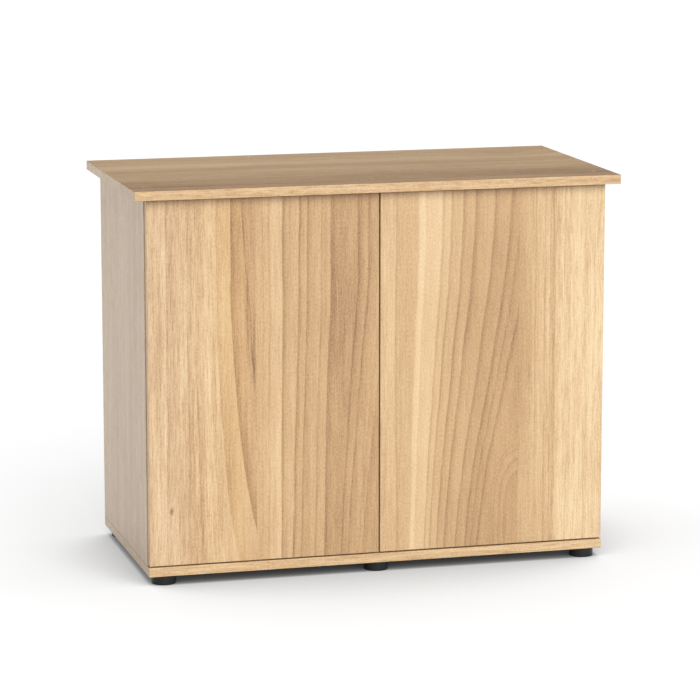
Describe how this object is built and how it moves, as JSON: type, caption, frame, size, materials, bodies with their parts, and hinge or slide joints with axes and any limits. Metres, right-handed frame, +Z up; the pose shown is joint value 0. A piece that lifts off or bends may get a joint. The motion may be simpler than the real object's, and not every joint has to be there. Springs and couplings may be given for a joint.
{
  "type": "aquarium stand cabinet",
  "caption": "Low light-oak cabinet that carries an aquarium: overhanging top, base board on round feet, side-hung flush doors with push-to-open latches, shelved bays and rear hose notches.",
  "frame": {"origin": "on the floor, under the middle of the top board", "axes": "+X to the right as the doors are faced, -Y out of the doors, +Z up"},
  "size_m": [1.01, 0.51, 0.804],
  "materials": {
    "board_decor": "satin light oak decor on faced chipboard, edges banded to match",
    "foot_plastic": "matt black moulded",
    "cap_plastic": "satin pale beige",
    "screw_steel": "zinc plated",
    "hinge_steel": "nickel plated pressed steel",
    "latch_plastic": "satin grey moulded",
    "magnet_steel": "plain nickel plated",
    "dowel_wood": "bare fluted beech"
  },
  "bodies": {
    "carcass": {"base_panel": "board_decor", "top_panel": "board_decor", "side_panel_left": "board_decor", "side_panel_right": "board_decor", "centre_partition": "board_decor", "back_panel": "board_decor", "shelf_left": "board_decor", "shelf_right": "board_decor", "shelf_pins": "screw_steel", "top_screws": "screw_steel", "top_screw_caps": "cap_plastic", "base_screws": "screw_steel", "dowels_top": "dowel_wood", "dowels_base": "dowel_wood", "foot_front_left": "foot_plastic", "foot_front_middle": "foot_plastic", "foot_front_right": "foot_plastic", "foot_back_left": "foot_plastic", "foot_back_middle": "foot_plastic", "foot_back_right": "foot_plastic", "foot_screws": "screw_steel", "hinge_plate_lower_left": "hinge_steel", "hinge_arm_lower_left": "hinge_steel", "hinge_plate_upper_left": "hinge_steel", "hinge_arm_upper_left": "hinge_steel", "hinge_plate_lower_right": "hinge_steel", "hinge_arm_lower_right": "hinge_steel", "hinge_plate_upper_right": "hinge_steel", "hinge_arm_upper_right": "hinge_steel", "hinge_plate_screws": "screw_steel", "hinge_arm_screws": "screw_steel", "latch_housing_left": "latch_plastic", "latch_housing_right": "latch_plastic", "latch_screws": "screw_steel"},
    "left_door": {"door_left": "board_decor", "hinge_cup_lower_left": "hinge_steel", "hinge_cup_upper_left": "hinge_steel", "hinge_cup_screws_left": "screw_steel", "hinge_pins_left": "hinge_steel", "striker_left": "magnet_steel", "striker_screw_left": "screw_steel"},
    "right_door": {"door_right": "board_decor", "hinge_cup_lower_right": "hinge_steel", "hinge_cup_upper_right": "hinge_steel", "hinge_cup_screws_right": "screw_steel", "hinge_pins_right": "hinge_steel", "striker_right": "magnet_steel", "striker_screw_right": "screw_steel"},
    "left_plunger": {"latch_plunger_left": "latch_plastic", "latch_magnet_left": "magnet_steel"},
    "right_plunger": {"latch_plunger_right": "latch_plastic", "latch_magnet_right": "magnet_steel"}
  },
  "joints": [
    {"name": "left_door_hinge", "type": "hinge", "parent": "carcass", "child": "left_door", "pos_m": [-0.472, -0.2272, 0.4115], "axis": [0, 0, -1], "range_deg": [0, 95]},
    {"name": "right_door_hinge", "type": "hinge", "parent": "carcass", "child": "right_door", "pos_m": [0.472, -0.2272, 0.4115], "axis": [0, 0, 1], "range_deg": [0, 95]},
    {"name": "left_plunger_slide", "type": "slide", "parent": "carcass", "child": "left_plunger", "axis": [0, -1, 0], "range_m": [0, 0.038]},
    {"name": "right_plunger_slide", "type": "slide", "parent": "carcass", "child": "right_plunger", "axis": [0, -1, 0], "range_m": [0, 0.038]}
  ],
  "couplings": [
    {"joint": "left_plunger_slide", "follows": "left_door_hinge", "m_per_rad": 0.0229},
    {"joint": "right_plunger_slide", "follows": "right_door_hinge", "m_per_rad": 0.0229}
  ]
}
